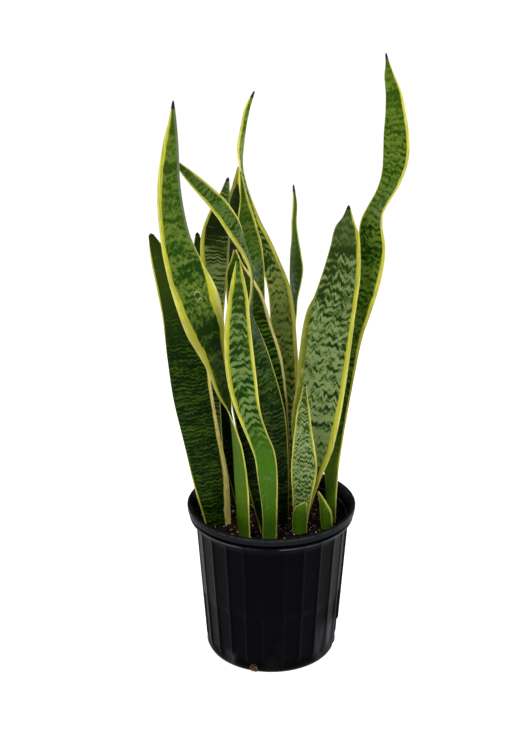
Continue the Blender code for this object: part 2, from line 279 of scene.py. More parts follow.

# %% [markdown]
# ## A piece from a bmesh
#
# Each finished piece ends the same way: the bmesh becomes a smooth-shaded object at the origin, takes its
# material, stands for a CAD node where there is one, and rides on the plant's only body.

# %% Close a bmesh into a piece
def make_piece(name, bm, material, node=None, sharp=40.0):
    bmesh.ops.recalc_face_normals(bm, faces=bm.faces)
    piece = object_from(bm, name)
    mesh = piece.data
    mesh.shade_smooth()
    mesh.set_sharp_from_angle(angle=math.radians(sharp))
    mesh.materials.append(material)
    if node:
        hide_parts(node)
    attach(piece, "root")
    print(name, len(mesh.polygons), "faces")
    return piece


# %% [markdown]
# ## The leaves' spines
#
# A leaf grows from one point and can lean, twist, turn its back and narrow on its way up. All of that
# fits in a short list of points along its middle. Each leaf has its channel (the depth of its trough over
# its width, to the front if positive) and its spine from the soil to the tip. A point of the spine gives,
# in millimetres, the height over the ground, x and y, the blade's width, and then in degrees how far the
# blade is turned from facing the front. They are the same numbers as in the CAD source, because the
# finished leaf has to stand exactly where its solid is.

# %% Spines of all the leaves
SPINES = {
    "leaf_left_broad": (-0.10, [
        (200, -74, -28, 36, 15), (270, -85, -22, 50, 5), (330, -97, -16, 52, 0), (390, -109, -8, 56, -5),
        (450, -117, 0, 56, -5), (500, -124, 8, 52, -5), (545, -137, 14, 42, -5), (585, -152, 18, 26, -5),
        (617, -164, 22, 6, -5)]),
    "leaf_left_tall": (0.08, [
        (200, -38, -66, 22, 140), (285, -42, -67, 28, 133), (345, -47, -70, 29, 120), (400, -56, -74, 32, 88),
        (430, -65, -76, 35, 65), (475, -75, -81, 42, 50), (520, -87, -85, 55, 28), (560, -97, -88, 58, 18),
        (600, -111, -90, 49, 10), (645, -123, -90, 38, 5), (705, -129, -88, 30, 0), (760, -126, -85, 20, 0),
        (790, -123, -83, 10, 0), (815, -122, -80, 2, 0)]),
    "leaf_left_back": (0.08, [
        (200, -41, 38, 23, 30), (280, -59, 54, 30, 30), (355, -77, 68, 33, 30), (430, -91, 80, 35, 30),
        (500, -101, 90, 35, 30), (555, -103, 96, 24, 30), (597, -105, 101, 5, 30)]),
    "leaf_back_dark": (0.10, [
        (200, -72, 26, 25, -20), (290, -87, 36, 41, -20), (365, -93, 45, 46, -20), (440, -91, 54, 46, -15),
        (505, -85, 63, 40, -10), (550, -80, 69, 39, -8), (595, -78, 74, 41, -8), (630, -72, 78, 29, -8),
        (655, -65, 80, 15, -8), (680, -60, 82, 3, -8)]),
    "leaf_crossing": (-0.08, [
        (200, 11, -21, 29, 15), (280, 5, -20, 41, 15), (360, -3, -20, 50, 20), (415, -15, -20, 52, 30),
        (470, -26, -21, 50, 48), (510, -30, -22, 45, 75), (565, -27, -27, 38, 92), (592, -30, -30, 34, 90),
        (620, -40, -34, 30, 75), (650, -54, -39, 24, 35), (675, -71, -43, 22, 15), (710, -103, -49, 15, 5),
        (736, -127, -53, 3, 0)]),
    "leaf_front": (-0.06, [
        (200, -2, -72, 20, 10), (245, -2, -74, 21, 10), (305, -5, -80, 28, 15), (338, -9, -84, 29, 20),
        (362, -17, -86, 28, 20), (392, -27, -89, 30, 15), (420, -34, -91, 35, 8), (450, -39, -93, 39, 0),
        (493, -43, -96, 38, 0), (530, -44, -98, 33, 0), (563, -43, -100, 26, 0), (590, -43, -101, 17, 0),
        (619, -43, -102, 3, 0)]),
    "leaf_centre_green": (0.08, [
        (200, -5, 38, 22, 20), (288, -8, 44, 35, 25), (362, -12, 50, 42, 35), (437, -16, 55, 46, 48),
        (496, -19, 58, 37, 62), (553, -20, 61, 34, 60), (575, -27, 62, 39, 45), (603, -33, 63, 32, 25),
        (630, -36, 64, 22, 10), (652, -38, 65, 12, 5), (692, -43, 66, 2, 0)]),
    "leaf_centre_dark": (0.08, [
        (200, -12, 60, 25, 35), (278, -22, 68, 38, 40), (352, -32, 77, 45, 40), (426, -40, 86, 48, 40),
        (498, -45, 96, 49, 40), (570, -49, 104, 43, 40), (612, -51, 110, 38, 40), (640, -51, 113, 29, 40),
        (660, -50, 115, 16, 40), (687, -47, 117, 3, 40)]),
    "leaf_centre_tall": (0.08, [
        (200, 29, 38, 24, 10), (285, 24, 47, 36, 15), (375, 21, 57, 40, 20), (448, 17, 68, 39, 20),
        (490, 14, 77, 37, 20), (523, 9, 83, 33, 20), (558, -3, 88, 28, 20), (585, -15, 91, 28, 25),
        (610, -27, 92, 29, 40), (638, -35, 91, 31, 60), (665, -41, 92, 26, 70), (693, -43, 93, 22, 80),
        (715, -44, 95, 18, 60), (742, -40, 98, 11, 40), (770, -34, 101, 8, 20), (794, -24, 105, 2, 0)]),
    "leaf_centre_broad": (0.06, [
        (200, 8, 1, 28, 10), (275, 7, 3, 39, 10), (335, 2, 5, 45, 8), (388, -4, 7, 50, 5),
        (440, -13, 9, 54, 5), (483, -26, 11, 54, 5), (523, -36, 13, 51, 5), (548, -43, 14, 40, 5),
        (566, -48, 15, 29, 5), (583, -49, 16, 13, 5), (598, -50, 17, 3, 5)]),
    "leaf_front_shaded": (-0.06, [
        (200, -3, -46, 24, 20), (265, -13, -50, 34, 15), (315, -22, -51, 36, 10), (363, -31, -53, 34, 5),
        (409, -40, -57, 30, 0), (453, -46, -60, 21, 0), (482, -47, -62, 12, 0), (504, -46, -63, 3, 0)]),
    "leaf_back_narrow": (0.10, [
        (200, 42, 60, 24, 40), (275, 32, 70, 25, 45), (350, 25, 82, 28, 55), (423, 24, 94, 30, 60),
        (475, 28, 102, 30, 62), (502, 31, 106, 28, 62), (535, 34, 112, 28, 45), (560, 33, 116, 23, 45),
        (583, 32, 120, 15, 45), (605, 31, 124, 11, 45), (630, 32, 128, 9, 45), (658, 30, 131, 3, 45)]),
    "leaf_right_broad": (0.07, [
        (200, 41, -8, 21, -20), (265, 50, -8, 37, -10), (315, 58, -8, 56, -5), (357, 61, -8, 67, 0),
        (400, 67, -5, 68, 0), (455, 73, 0, 70, 0), (500, 79, 5, 68, 0), (524, 86, 9, 60, 0),
        (560, 94, 14, 52, 0), (598, 99, 19, 41, 0), (622, 100, 23, 32, 0), (637, 102, 26, 16, 0),
        (655, 103, 28, 2, 0)]),
    "leaf_right_tall": (0.08, [
        (200, 85, -11, 21, -50), (253, 86, 0, 25, -50), (302, 85, 12, 37, -40), (352, 88, 22, 45, -35),
        (409, 95, 32, 50, -32), (470, 106, 40, 50, -30), (511, 120, 45, 48, -30), (550, 132, 49, 45, -30),
        (588, 138, 53, 44, -35), (618, 137, 56, 42, -45), (639, 142, 58, 38, -58), (657, 151, 60, 36, -58),
        (681, 162, 63, 36, -45), (710, 168, 67, 40, -35), (740, 168, 71, 38, -30), (771, 166, 76, 30, -30),
        (795, 163, 80, 24, -30), (817, 157, 83, 16, -30), (833, 154, 84, 7, -30), (848, 151, 85, 2, -30)]),
    "leaf_right_short": (0.10, [
        (200, 40, -36, 20, 20), (256, 43, -39, 29, 15), (296, 45, -42, 37, 10), (328, 44, -45, 32, 10),
        (356, 43, -48, 25, 10), (387, 43, -50, 18, 10), (409, 44, -52, 10, 10), (429, 45, -53, 3, 10)]),
    "sheath_right_short": (-0.20, [
        (200, 40, -50, 20, 0), (223, 40, -51, 21, 0), (238, 41, -52, 19, 0), (246, 45, -52, 11, 0),
        (253, 48, -52, 2, 0)]),
    "sheath_right_tall": (-0.20, [
        (200, 79, -36, 16, 0), (224, 77, -37, 17, 0), (240, 73, -37, 11, 0), (252, 69, -37, 6, 0),
        (262, 65, -37, 2, 0)]),
}
ROOT_DEPTH = 14 * MM
print(len(SPINES), "leaves and sheaths")

# %% [markdown]
# ## From a spine to a curve
#
# Straight runs between the points would show as kinks in a blade that in life bends without a break. A
# cubic through the points, with each slope taken from the two neighbours, is smooth and passes exactly
# through them. The same sum runs over place, width and twist at once.

# %% Smooth a spine and find its directions
STEPS_PER_SPAN = 12


def smooth_spine(points, steps):
    """Points along a cubic curve through the spine, its slopes taken from the neighbours."""
    marks = [0.0]
    for a, b in zip(points, points[1:]):
        marks.append(marks[-1] + math.dist(a[:3], b[:3]))
    slopes = []
    for i in range(len(points)):
        lo = max(i - 1, 0)
        hi = min(i + 1, len(points) - 1)
        slopes.append([(q - p) / (marks[hi] - marks[lo]) for p, q in zip(points[lo], points[hi])])
    out = []
    for i in range(len(points) - 1):
        span = marks[i + 1] - marks[i]
        for k in range(steps):
            t = k / steps
            h00 = 2 * t ** 3 - 3 * t ** 2 + 1
            h10 = t ** 3 - 2 * t ** 2 + t
            h11 = t ** 3 - t ** 2
            out.append([h00 * p + h10 * span * m + (1 - h00) * q + h11 * span * n for p, m, q, n in
                        zip(points[i], slopes[i], points[i + 1], slopes[i + 1])])
    out.append(list(points[-1]))
    return out


class Station:
    """One cross-section of a blade: its middle, width, directions and distance from the soil."""

    def __init__(self, row, ahead, behind, along):
        self.place = Vector(row[:3])
        self.width = row[3]
        self.along = along
        up = (Vector(ahead[:3]) - Vector(behind[:3])).normalized()
        side = Vector((1.0, 0.0, 0.0))
        side = (side - side.dot(up) * up).normalized()
        self.across = side * math.cos(row[4]) - side.cross(up) * math.sin(row[4])
        self.face = self.across.cross(up)


def leaf_stations(spine):
    rows = [(x * MM, y * MM, z * MM, width * MM, math.radians(turn)) for z, x, y, width, turn in spine]
    foot = rows[0]
    rows.insert(0, (foot[0], foot[1], foot[2] - ROOT_DEPTH, *foot[3:]))
    rows = smooth_spine(rows, STEPS_PER_SPAN)
    stations = []
    along = -ROOT_DEPTH
    for i, row in enumerate(rows):
        behind = rows[max(i - 1, 0)]
        along += math.dist(row[:3], behind[:3])
        stations.append(Station(row, rows[min(i + 1, len(rows) - 1)], behind, along))
    return stations


STATIONS = {name: leaf_stations(spine) for name, (channel, spine) in SPINES.items()}
print("longest leaf:", round(max(s[-1].along for s in STATIONS.values()) / MM), "mm")

# %% [markdown]
# ## What changes along a leaf
#
# A margin widens, narrows and sometimes vanishes on its way up, and the bands give way to plain green near
# the soil. Each leaf therefore has a course, with rows from the soil to the tip. A row gives the height and
# the widths of the left and right margins in millimetres, and then in per cent how much of the blade is
# pale, how plain it is (100 hides the bands) and how much painted shade darkens it (0 none, 100 black). The
# painted shade stands for the shade that falls on leaves deep in the plant. Between two rows everything
# changes evenly.

# %% Courses of all the leaves
COURSES = {
    "leaf_left_broad": [
        (200, 2, 10, 46, 0, 25), (240, 2.5, 9, 48, 0, 12), (330, 0.5, 5, 46, 0, 10),
        (390, 0.5, 4, 46, 0, 5), (450, 0.6, 4, 42, 0, 5), (490, 1.5, 4, 25, 20, 10),
        (540, 3, 2, 34, 40, 5), (585, 2.5, 1, 34, 40, 10), (617, 0, 0, 20, 60, 45)],
    "leaf_left_tall": [
        (200, 1.5, 0.5, 50, 100, 0), (285, 2, 0.5, 55, 90, 0), (345, 2.2, 0.6, 55, 70, 5),
        (400, 4, 3, 45, 60, 20), (430, 7, 4.5, 42, 20, 45), (475, 10, 6, 42, 0, 45),
        (505, 12, 8, 44, 0, 50), (528, 12, 9, 46, 0, 40), (548, 11, 13, 52, 0, 5),
        (565, 9, 12, 50, 0, 0), (585, 7, 5, 50, 0, 0), (605, 6, 1.8, 52, 0, 0),
        (645, 5.5, 0.8, 50, 10, 2), (690, 6, 0.8, 42, 10, 5), (710, 6, 0.8, 30, 10, 5),
        (722, 6, 0.8, 56, 10, 0), (732, 6, 0.8, 25, 10, 5), (745, 5.5, 0.8, 60, 10, 0),
        (768, 5.5, 0.8, 66, 20, 0), (776, 4.5, 0.8, 20, 20, 15), (790, 3, 0.6, 40, 30, 10),
        (815, 0, 0, 40, 30, 20)],
    "leaf_left_back": [
        (200, 2, 2, 40, 0, 45), (450, 2, 2, 45, 0, 30), (597, 1, 0.6, 50, 20, 0)],
    "leaf_back_dark": [
        (200, 5, 2, 45, 0, 40), (440, 5, 2, 50, 0, 20), (505, 6, 2.5, 60, 0, 0), (555, 7, 3, 56, 0, 0),
        (590, 6, 3, 42, 0, 15), (606, 4.5, 2, 10, 0, 45), (635, 3, 1.5, 15, 0, 30),
        (650, 1.5, 1.5, 45, 10, 5), (680, 0, 0.5, 45, 30, 30)],
    "leaf_crossing": [
        (200, 3, 1.5, 40, 0, 45), (280, 3, 1.5, 45, 0, 30), (360, 3, 2, 45, 0, 25),
        (470, 3.5, 2.5, 42, 0, 20), (510, 5, 2.5, 42, 0, 20), (592, 6, 3.5, 50, 0, 10),
        (620, 6.5, 3, 55, 0, 0), (650, 4.5, 3, 62, 0, 0), (710, 2.8, 2.6, 60, 20, 0),
        (736, 0, 0, 40, 20, 20)],
    "leaf_front": [
        (200, 0.8, 2.4, 50, 100, 0), (305, 0.8, 2.2, 50, 90, 0), (338, 2, 2.2, 50, 85, 0),
        (362, 3, 2.5, 42, 50, 5), (392, 4, 3, 48, 0, 5), (420, 5.5, 4, 52, 0, 0),
        (465, 6.5, 4.5, 58, 0, 0), (490, 6.5, 4.5, 46, 0, 5), (530, 6.5, 4.5, 50, 0, 0),
        (563, 6, 4.5, 40, 0, 5), (590, 5, 4, 35, 20, 0), (619, 0, 0, 40, 40, 10)],
    "leaf_centre_green": [
        (200, 2, 2, 40, 0, 50), (437, 2, 3, 42, 0, 30), (540, 2, 3, 50, 0, 15), (600, 2, 3.5, 52, 20, 5),
        (652, 2.2, 3, 42, 20, 10), (692, 1, 1, 40, 20, 20)],
    "leaf_centre_dark": [
        (200, 2, 2, 40, 0, 50), (560, 2, 2, 42, 0, 25), (630, 3, 2, 30, 0, 20), (655, 6, 2, 30, 0, 10),
        (668, 14, 9, 30, 0, 0), (687, 14, 9, 40, 0, 0)],
    "leaf_centre_tall": [
        (200, 2, 4, 40, 0, 60), (375, 2, 6.5, 50, 0, 25), (430, 2, 6.5, 58, 0, 5), (460, 2, 6, 60, 0, 0),
        (523, 2, 5.5, 58, 0, 0), (585, 2.5, 5.5, 48, 0, 18), (610, 3, 6, 46, 0, 26),
        (640, 4, 3, 48, 20, 16), (665, 8, 1, 45, 30, 10), (715, 7, 1, 45, 30, 10),
        (742, 4.5, 0.6, 40, 40, 10), (770, 3, 0.4, 45, 40, 5), (794, 0, 0, 40, 40, 10)],
    "leaf_centre_broad": [
        (200, 3, 1.5, 44, 0, 20), (275, 3, 1.5, 48, 0, 5), (335, 3, 2, 48, 0, 5), (390, 3, 3, 44, 0, 18),
        (440, 3.5, 4, 42, 0, 15), (500, 3.5, 4.5, 40, 0, 10), (560, 3, 3.5, 35, 20, 5),
        (598, 2, 2, 40, 30, 0)],
    "leaf_front_shaded": [
        (200, 2, 1.5, 35, 0, 30), (315, 2, 1.5, 46, 0, 20), (420, 2, 2, 42, 0, 25),
        (504, 0.5, 0.5, 40, 0, 30)],
    "leaf_back_narrow": [
        (200, 1.5, 2, 40, 0, 60), (423, 1, 2.5, 42, 0, 30), (502, 0.8, 3, 38, 0, 15),
        (560, 1, 2.5, 42, 30, 5), (600, 2.5, 2.5, 50, 50, 0), (636, 2.5, 1, 50, 50, 0),
        (658, 0, 0, 40, 50, 10)],
    "leaf_right_broad": [
        (200, 1, 3, 50, 40, 30), (240, 2, 4.5, 50, 20, 10), (270, 3, 6, 40, 0, 10),
        (283, 3, 7, 20, 0, 10), (298, 3.5, 7.5, 72, 20, 5), (340, 4, 8, 78, 20, 0),
        (350, 4.5, 8, 22, 0, 0), (360, 5.5, 8, 72, 0, 0), (400, 9, 7.5, 58, 0, 0),
        (455, 10, 7, 58, 0, 0), (480, 9, 6.5, 50, 0, 0), (520, 3, 6, 46, 0, 2), (555, 1.5, 6, 50, 0, 3),
        (572, 1.5, 6, 32, 0, 5), (582, 1.5, 6, 58, 0, 8), (594, 1.5, 6, 16, 0, 14),
        (604, 1.5, 5.5, 46, 70, 16), (637, 1.2, 3.5, 42, 80, 24), (655, 0, 0, 40, 80, 40)],
    "leaf_right_tall": [
        (200, 0.8, 2.5, 54, 80, 0), (290, 1, 3, 52, 50, 0), (330, 1.5, 3, 34, 10, 15),
        (409, 1.5, 4, 44, 0, 12), (470, 1.5, 5.5, 52, 0, 5), (511, 1.5, 6.5, 54, 0, 5),
        (560, 1.5, 6.5, 56, 0, 0), (588, 1.5, 6, 28, 0, 5), (600, 2, 5.5, 55, 0, 0),
        (640, 2.5, 4.5, 52, 0, 0), (681, 1.2, 4.5, 56, 10, 0), (710, 0.6, 5, 54, 0, 0),
        (771, 0.6, 4, 46, 10, 0), (797, 0.6, 3, 22, 10, 5), (806, 0.6, 2.5, 60, 10, 0),
        (817, 0.6, 2, 45, 20, 5), (848, 0, 0, 40, 20, 20)],
    "leaf_right_short": [
        (200, 1, 2, 50, 30, 5), (256, 1.5, 3, 56, 0, 0), (328, 2.5, 3, 55, 0, 0),
        (387, 2, 2.5, 50, 0, 0), (429, 0.5, 0.5, 44, 0, 10)],
    "sheath_right_short": [
        (200, 0.6, 1, 50, 100, 5), (238, 1, 1, 50, 100, 0), (253, 2, 2, 50, 100, 0)],
    "sheath_right_tall": [
        (200, 0.5, 3, 50, 100, 5), (240, 0.8, 2.5, 50, 100, 0), (262, 1, 1.5, 50, 100, 0)],
}


def course_at(name, height):
    """The five values of a leaf's course at a height, taken evenly between its rows."""
    rows = COURSES[name]
    above = next((i for i, row in enumerate(rows) if row[0] > height), len(rows) - 1)
    low, high = rows[max(above - 1, 0)], rows[above]
    share = (height - low[0]) / max(high[0] - low[0], 1)
    share = min(max(share, 0.0), 1.0)
    values = [a + (b - a) * share for a, b in zip(low[1:], high[1:])]
    return values[:2] + [value / 100 for value in values[2:]]


broad_margin = course_at("leaf_right_broad", 400)[1]
print("right margin of the broad right leaf at 400 mm:", round(broad_margin, 1), "mm")

# %% [markdown]
# ## A blade
#
# The real blade is fleshy in the middle and thins to a rounded edge. A grid rolled into a flat tube gives
# that section without any seam to hide: one side of the grid runs along the leaf, the other goes once
# round it, and an ellipse places it. Slow ripples keep it from looking pressed from sheet metal. Each
# point also keeps its place on the blade, in millimetres, and what the course says there, because the
# bands and margins of the finish follow the leaf and not the room.

# %% Roll a grid into a blade
ROUND = 32
BLADE_THICK = 3 * MM
TIP_THICK = 0.8 * MM
THICK_PER_WIDTH = 0.09
RIPPLE = 0.5 * MM
RIPPLE_LENGTH = 55 * MM
WELD = 0.001 * MM


def blade_ripple(sideways, along, seed):
    """Slow bending of the blade towards its face, strongest at the margins."""
    field = noise.noise(Vector((sideways * 0.8, along / RIPPLE_LENGTH, seed)))
    edge = noise.noise(Vector((3.0 * sideways, along / (0.4 * RIPPLE_LENGTH), seed + 9.0)))
    return RIPPLE * (field + 1.2 * edge * abs(sideways) ** 3)


def blade_point(station, turn, channel, seed):
    """The point of a blade's skin that lies at an angle round its section, from the middle of the back."""
    sideways = math.sin(turn)
    thick = min(BLADE_THICK, TIP_THICK + THICK_PER_WIDTH * station.width)
    lift = thick / 2 * math.cos(turn) + channel * station.width * (sideways ** 2 - 0.5)
    fade = min(1.0, station.width / (20 * MM))
    lift += blade_ripple(sideways, station.along, seed) * fade
    return station.place + station.across * (station.width / 2 * sideways) + station.face * lift


def make_blade(name, channel, stations, seed):
    bm = bmesh.new()
    where = bm.verts.layers.float_vector.new("blade")
    course = bm.verts.layers.float_vector.new("course")
    painted_shade = bm.verts.layers.float.new("painted_shade")
    rows = len(stations) - 1
    bmesh.ops.create_grid(bm, x_segments=ROUND, y_segments=rows, size=1.0)
    for vert in bm.verts:
        station = stations[round((vert.co.y + 1) / 2 * rows)]
        turn = math.pi * vert.co.x
        half = station.width / 2
        sideways = half * math.sin(turn)
        # The last value of the course is painted shade, standing in for shade among the leaves.
        left, right, pale, plain, dark = course_at(name, station.place.z / MM)
        vert[where] = (sideways / MM, station.along / MM, (half - abs(sideways)) / MM)
        vert[course] = (left if sideways < 0.0 else right, pale, plain)
        vert[painted_shade] = dark
        vert.co = blade_point(station, turn, channel, seed)
    bmesh.ops.remove_doubles(bm, verts=bm.verts, dist=WELD)
    tip = stations[-1].place
    open_verts = {vert for edge in bm.edges if edge.is_boundary for vert in edge.verts}
    top = [vert for vert in open_verts if vert[where].y > stations[-2].along / MM]
    bmesh.ops.pointmerge(bm, verts=top, merge_co=tip)
    bmesh.ops.holes_fill(bm, edges=[edge for edge in bm.edges if edge.is_boundary], sides=0)
    return bm


# %% [markdown]
# ## The leaf's finish
#
# Under its margins the blade is dark green, crossed by paler wavy bands that break up into short dashes.
# A sine along the leaf gives the bands their even beat, a noise stretched across the leaf makes them
# uneven, and a short noise breaks them. One more noise that changes fast across the leaf but slowly along
# it bends the bands into stacked zigzags, as on the real plant. The sum is cut at two levels, so a dash has
# a mid-green border and a silvery middle, and a fine grain roughens both. Old leaves are silvery, young and
# shaded ones almost plain, so one recipe takes each leaf's own colours and grain.

# %% The recipe's colours and sizes
YELLOW = shade(186, 188, 46)
# A brighter yellow painted on margins that face away from the lamps, standing in for light on them.
LIT_MARGIN_YELLOW = shade(232, 230, 84)
SHADED_YELLOW = shade(100, 112, 30)
PALE_YELLOW = shade(236, 230, 128)
CREAM = shade(226, 206, 132)
BRIGHT_CREAM = shade(250, 228, 136)
OLIVE = shade(96, 106, 24)
AWN = shade(46, 42, 40)
PLAIN_GREEN = (84, 122, 30)
OLD_OLIVE = shade(82, 92, 32)
# The grey of a painted sheen along a leaf edge.
SHEEN_GREY = shade(106, 120, 92)
SCAR = shade(206, 190, 140)


class Look:
    """What sets one leaf's finish apart. Sizes are in millimetres on the blade."""

    reach = 26.0  # how wide a band runs across the blade before it changes
    pitch = 5.0  # the height of a band
    dash = 6.0  # the width of the dashes that break a band up
    breaks = 0.5  # the share of those dashes in the sum
    zigzag = 14.0  # how high the zigzags are
    wave = 5.0  # how wide each zigzag is
    arch = 0.0  # how much higher a band's middle stands than its ends
    beat = 0.06  # how much of a steady beat the bands have
    zones = 0.25  # how much the leaf changes from zone to zone
    soft = 0.05  # how softly one green meets the next
    edges = (YELLOW, YELLOW)  # the colours of the left and the right margin
    rims = (0.75, 0.75)  # how pale the rims of those margins are
    awn = 8.0  # the length of the dry tip
    sheen_edge = (0.0, 0.0)  # width of a strip of painted sheen on the right, and where along the leaf it begins
    scars = ()  # for each scar its place across and along, and its reach

    def __init__(self, slot, dark, middle, pale, plain=PLAIN_GREEN, **own):
        self.slot = slot
        self.dark = shade(*dark)
        self.middle = shade(*middle)
        self.pale = shade(*pale)
        self.plain = shade(*plain)
        for name, value in own.items():
            setattr(self, name, value)


# %% [markdown]
# The blade's own coordinates come in as mesh attributes: the distance from the middle line, the distance
# from the soil, and the distance to the nearer margin. The share across is what bends a band into an arch.

# %% The bands
ZIGZAG_LENGTH = 42.0
DRIFT_SIZE = (24.0, 50.0)
DRIFT = 9.0
DASH_PER_PITCH = 0.7
BEAT_PER_PITCH = 1.6
ZONE_SIZE = (90.0, 26.0)
GRAIN_SIZE = (1.3, 1.5)
GRAIN = 0.34
MIDDLE_LEVEL = 0.45
PALE_LEVELS = (0.53, 0.55)
AGED_SPAN = (0.60, 0.97)
AGED_SHARE = 0.22


def band_level(paint, look, across, along, half, seed):
    """About 0.5 in the middle, higher where the blade is paler."""
    share = across / half
    zig = paint.field(across, along, (look.wave, ZIGZAG_LENGTH), seed, 1.0) - 0.5
    drift = paint.field(across, along, DRIFT_SIZE, seed + 2.0, 1.0) - 0.5
    height = along + zig * look.zigzag + drift * DRIFT + share * share * look.arch
    bands = paint.field(across, height, (look.reach, look.pitch), seed + 5.0, 1.5)
    breaks = paint.field(across, height, (look.dash, DASH_PER_PITCH * look.pitch), seed + 7.0)
    beat = paint.math("SINE", height * (math.tau / (BEAT_PER_PITCH * look.pitch)))
    zones = paint.field(across, along, ZONE_SIZE, seed + 9.0) - 0.5
    grain = paint.field(across, along, GRAIN_SIZE, seed + 15.0) - 0.5
    level = bands * (1.0 - look.breaks) + breaks * look.breaks + beat * look.beat
    return level + zones * look.zones + grain * GRAIN


def face_colour(paint, look, level, cover, plain, streaks, along, length):
    """The green between the margins."""
    level = level + (cover - 0.5) * 0.5
    middle = paint.step(level, MIDDLE_LEVEL - look.soft, MIDDLE_LEVEL + look.soft)
    silver = paint.step(level, PALE_LEVELS[0] - look.soft, PALE_LEVELS[1] + look.soft)
    colour = paint.blend(middle, look.dark, look.middle)
    colour = paint.blend(silver, colour, look.pale)
    aged = paint.step(along / length, *AGED_SPAN)
    colour = paint.blend(aged * AGED_SHARE, colour, OLD_OLIVE)
    mottle = paint.step(level + (streaks - 0.5) * 0.5, 0.36, 0.60)
    light = paint.step(level + (streaks - 0.5) * 0.3, 0.54, 0.74)
    young = paint.blend(mottle * 0.75, look.plain, look.middle)
    young = paint.blend(light * 0.45, young, look.pale)
    return paint.blend(plain, colour, young)


def painted_sheen_strip(paint, look, across, inset, along, streaks):
    """A strip of painted sheen along the right edge, from a height on: a grey painted reflection."""
    width, start = look.sheen_edge
    strip = paint.step(across, 0.0, 0.1) * paint.step(along, start, start + 25.0)
    strip = strip * (1.0 - paint.step(inset + streaks * 1.2, width, width + 1.2))
    return strip * 0.65


def scar_marks(paint, look, across, along):
    """Small pale arches where the skin was scratched."""
    marks = 0.0
    for side, height, reach in look.scars:
        apart = across - side
        arch = along + apart * apart * (0.9 / reach) - height
        line = 1.0 - paint.step(paint.math("ABSOLUTE", arch), 0.5, 1.1)
        marks = marks + line * (1.0 - paint.step(paint.math("ABSOLUTE", apart), reach - 1.0, reach))
    return marks


# %% [markdown]
# A margin is pale at its outer edge and turns a deeper yellow inwards, with cream clouds and green streaks
# in it. Where the course makes it wider than the blade has room for, it stops near the middle line. The
# course's painted shade darkens a margin only about half as much as the green.

# %% The margins, the tip and the whole finish
MARGIN_SHADE = 0.55
MARGIN_LIMIT = 0.96
WANDER_SIZE = (40.0, 16.0)
CLOUD_SIZE = (5.0, 14.0)
STREAK_SIZE = (0.8, 75.0)
FINE_SIZE = (0.8, 1.6)
AWN_EDGE = 0.7
AWN_RAGGED = 4.0
LEAF_GLOSS = 0.045
LEAF_RELIEF = 0.3 * MM
ATTRIBUTE_VECTOR = 1
ATTRIBUTE_NUMBER = 2


def margin_colour(paint, look, across, inset, reach, streaks, seed, along):
    side = paint.step(across, -0.01, 0.01)
    colour = paint.blend(side, *look.edges)
    left_rim, right_rim = look.rims
    outer = 1.0 - paint.step(inset / (reach + 0.5), 0.0, 0.75)
    colour = paint.blend(outer * (left_rim + side * (right_rim - left_rim)), colour, PALE_YELLOW)
    clouds = paint.field(across, along, CLOUD_SIZE, seed + 21.0, 3.0)
    colour = paint.blend(paint.step(clouds, 0.50, 0.70) * 0.45, colour, CREAM)
    green = paint.step(streaks + clouds * 0.4, 0.62, 0.86)
    colour = paint.blend(green * 0.55, colour, OLIVE)
    inner = paint.step(inset - reach, -1.6, 0.4)
    return paint.blend(inner * 0.45, colour, OLIVE)


def leaf_finish(name, look, length, seed):
    paint = Paint(name)
    across, along, inset = paint.split(paint.attribute("blade", ATTRIBUTE_VECTOR))
    margin, cover, plain = paint.split(paint.attribute("course", ATTRIBUTE_VECTOR))
    painted_shade = paint.attribute("painted_shade", ATTRIBUTE_NUMBER)
    half = inset + paint.math("ABSOLUTE", across)
    streaks = paint.field(across, along, STREAK_SIZE, seed + 11.0, 3.0)
    fine = paint.field(across, along, FINE_SIZE, seed + 13.0)

    level = band_level(paint, look, across, along, half, seed)
    colour = face_colour(paint, look, level, cover, plain, streaks, along, length)
    colour = paint.blend(paint.step(streaks, 0.40, 0.80) * 0.25, colour, look.dark)
    if look.scars:
        colour = paint.blend(scar_marks(paint, look, across, along) * 0.7, colour, SCAR)

    wander = paint.noise(paint.place(along / WANDER_SIZE[1], seed, across / WANDER_SIZE[0])) - 0.5
    reach = paint.math("MINIMUM", margin * (1.0 + wander * 0.5), half * MARGIN_LIMIT)
    reach = reach + (streaks - 0.5) * 1.6 * paint.step(margin, 0.6, 2.0)
    yellow = 1.0 - paint.step(inset - reach, -0.6, 0.6)
    margin_tone = margin_colour(paint, look, across, inset, reach, streaks, seed, along)
    # Painted shade: the course darkens the green, and the margins only half as much.
    colour = paint.dim(colour, 1.0 - painted_shade)
    colour = paint.blend(yellow, colour, paint.dim(margin_tone, 1.0 - painted_shade * MARGIN_SHADE))
    if look.sheen_edge[0]:
        # Painted sheen: a grey strip along the right edge stands in for a reflection.
        colour = paint.blend(painted_sheen_strip(paint, look, across, inset, along, streaks), colour, SHEEN_GREY)

    ragged = along + (streaks - 0.5) * AWN_RAGGED
    awn = paint.step(ragged, length - look.awn, length - look.awn * AWN_EDGE)
    colour = paint.blend(awn, colour, AWN)
    relief = level * 0.5 + streaks * 0.6 + fine * 0.3
    rough = 0.40 + fine * 0.14 + awn * 0.25
    return paint.finish(colour, rough, relief, LEAF_RELIEF, Specular_IOR_Level=LEAF_GLOSS)


# %% [markdown]
# ## Each leaf's own look
#
# The photograph shows how different the leaves of one plant are: the broad leaf on the right is silvery
# with small dark zigzags, the front one has pale arches, and those in the shade are nearly black with
# faint fine bands. A look begins with the leaf's slot and its dark, middle and pale green.

